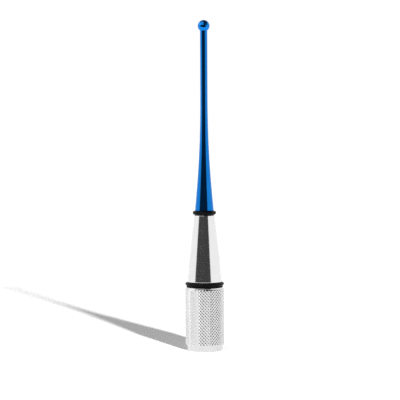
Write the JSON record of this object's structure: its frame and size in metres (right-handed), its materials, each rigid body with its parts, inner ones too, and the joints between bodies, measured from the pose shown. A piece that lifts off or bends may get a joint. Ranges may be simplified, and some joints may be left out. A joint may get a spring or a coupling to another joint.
{
  "type": "aerial mast",
  "caption": "Short screw-on vehicle aerial mast: blue tapered stem with ball tip on a polished cone and a knurled grip, with black rubber rings at the joints.",
  "frame": {"origin": "centre of the foot's lower face, on the turning axis", "axes": "+Z along the turning axis, from the foot to the ball; X along the slot of the bush under the foot"},
  "size_m": [0.0205, 0.0204, 0.1738],
  "materials": {
    "grip_aluminium": "bright turned and diamond knurled",
    "cone_aluminium": "mirror polished",
    "blue_anodised": "polished, then dyed blue anodised",
    "ring_rubber": "smooth moulded black nitrile",
    "seal_rubber": "matt moulded black sheet",
    "stud_steel": "bright cut thread",
    "brass": "bright turned"
  },
  "bodies": {
    "grip": {"knurled_grip": "grip_aluminium", "thread_bush": "brass", "foot_seal": "seal_rubber", "joint_washer": "seal_rubber"},
    "lower_ring": {"lower_o_ring": "ring_rubber"},
    "cone": {"cone": "cone_aluminium", "grip_stud": "stud_steel"},
    "upper_ring": {"upper_o_ring": "ring_rubber"},
    "mast": {"stem": "blue_anodised", "stem_stud": "stud_steel", "tip_ball": "blue_anodised"}
  },
  "joints": [
    {"name": "cone_lift", "type": "slide", "parent": "grip", "child": "lower_ring", "axis": [0, 0, 1], "range_m": [0, 0.0125]},
    {"name": "cone_turn", "type": "hinge", "parent": "lower_ring", "child": "cone", "pos_m": [0, 0, 0.034], "axis": [0, 0, 1], "range_deg": [0, 3601]},
    {"name": "mast_lift", "type": "slide", "parent": "cone", "child": "upper_ring", "axis": [0, 0, 1], "range_m": [0, 0.0088]},
    {"name": "mast_turn", "type": "hinge", "parent": "upper_ring", "child": "mast", "pos_m": [0, 0, 0.0714], "axis": [0, 0, 1], "range_deg": [0, 3961]}
  ],
  "couplings": [
    {"joint": "cone_turn", "follows": "cone_lift", "rad_per_m": 5026.5},
    {"joint": "mast_turn", "follows": "mast_lift", "rad_per_m": 7854}
  ]
}
